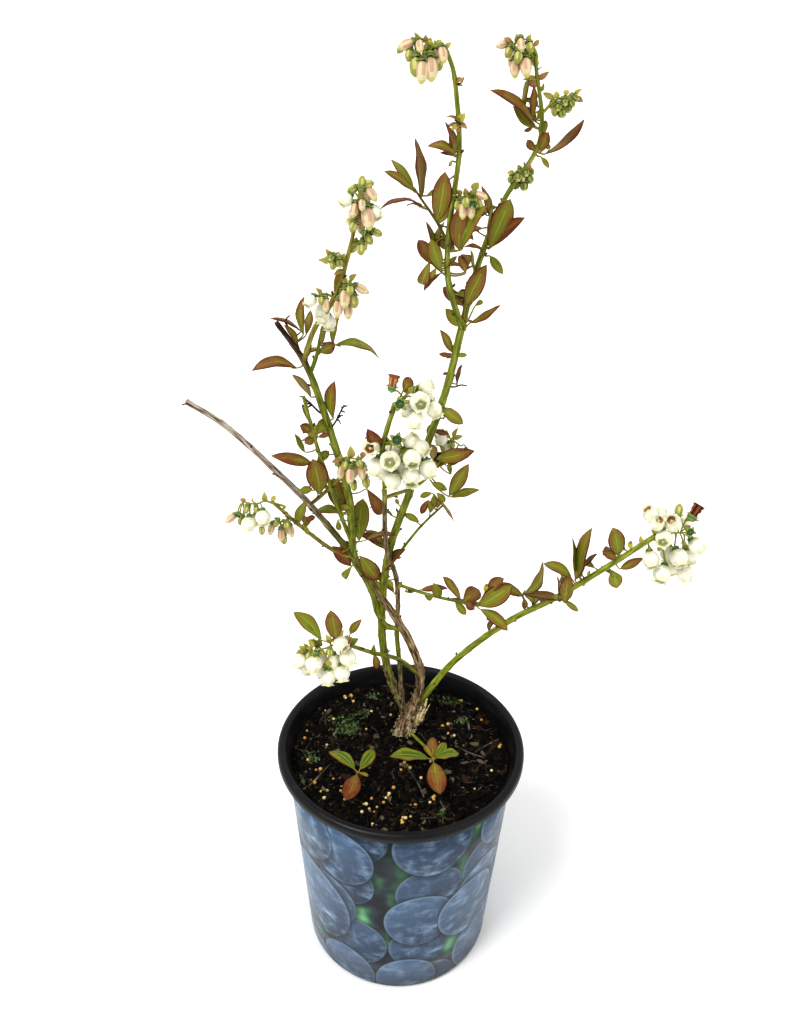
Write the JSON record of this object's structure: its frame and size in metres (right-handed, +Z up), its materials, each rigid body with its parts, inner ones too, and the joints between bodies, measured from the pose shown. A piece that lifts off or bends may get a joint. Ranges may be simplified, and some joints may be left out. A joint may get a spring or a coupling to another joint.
{
  "type": "blueberry bush in a nursery pot",
  "caption": "Young blueberry bush in spring blossom, with slender canes, leaf sprays and bell flowers, growing in a round printed nursery pot.",
  "frame": {"origin": "centre of the pot's flat underside", "axes": "+Z up along the pot's axis, +X to the right of the plant's face, +Y to its back"},
  "size_m": [0.284, 0.165, 0.59],
  "materials": {
    "pot_plastic": "satin black moulded plastic",
    "printed_film": null,
    "potting_mix": "dark bark mix with feed beads and moss",
    "old_bark": "grey brown shaggy bark",
    "dead_wood": "weathered grey dead wood",
    "tan_bark": "thin yellow brown bark",
    "green_bark": "smooth green young bark",
    "leaves": "satin green leaves with bronze and red edges",
    "blossom": "white bell flowers, pink buds and yellow green bracts"
  },
  "bodies": {
    "root": {"bud_twig": "tan_bark", "bud_twig_buds": "blossom", "crown": "old_bark", "dead_twig": "dead_wood", "flowering_tip_blossom": "blossom", "flowering_tip_foot_leaves": "leaves", "flowering_tip_side_blossom": "blossom", "fork_blossom": "blossom", "fork_leaves": "leaves", "left_cane": "green_bark", "left_cane_bright_leaves": "leaves", "left_cane_low_leaves": "leaves", "left_cane_upright_leaf": "leaves", "left_flower_twig": "green_bark", "left_flowering_tip": "tan_bark", "left_fork_blossom": "blossom", "left_fork_low_leaves": "leaves", "left_fork_side_leaves": "leaves", "left_fork_upper_leaves": "leaves", "left_side_twig": "green_bark", "left_side_twig_leaves": "leaves", "left_sucker_leaves": "leaves", "left_thin_shoot": "green_bark", "left_twig_blossom": "blossom", "left_twig_side_blossom": "blossom", "low_flower_twig": "green_bark", "low_twig_blossom": "blossom", "low_twig_leaves": "leaves", "middle_blossom": "blossom", "middle_cane": "tan_bark", "middle_side_leaves": "leaves", "middle_side_twig": "tan_bark", "middle_upper_blossom": "blossom", "pot": "pot_plastic", "printed_wrap": "printed_film", "right_cane": "green_bark", "right_cane_blossom": "blossom", "right_cane_low_leaves": "leaves", "right_cane_middle_leaves": "leaves", "right_cane_upper_leaves": "leaves", "right_fork_blossom": "blossom", "right_fork_low_leaves": "leaves", "right_fork_middle_leaves": "leaves", "right_fork_upper_leaves": "leaves", "right_shoot_middle_leaves": "leaves", "right_shoot_tip_leaves": "leaves", "right_sucker": "tan_bark", "right_sucker_leaves": "leaves", "right_thin_shoot": "green_bark", "soil": "potting_mix", "stub_leaves": "leaves", "tall_cane": "green_bark", "tall_cane_left_fork": "green_bark", "tall_cane_right_fork": "green_bark", "thin_green_twig": "green_bark", "thin_shoot_leaves": "leaves", "thin_twig_leaves": "leaves", "woody_stem": "old_bark", "woody_stem_leaves": "leaves"}
  },
  "joints": []
}
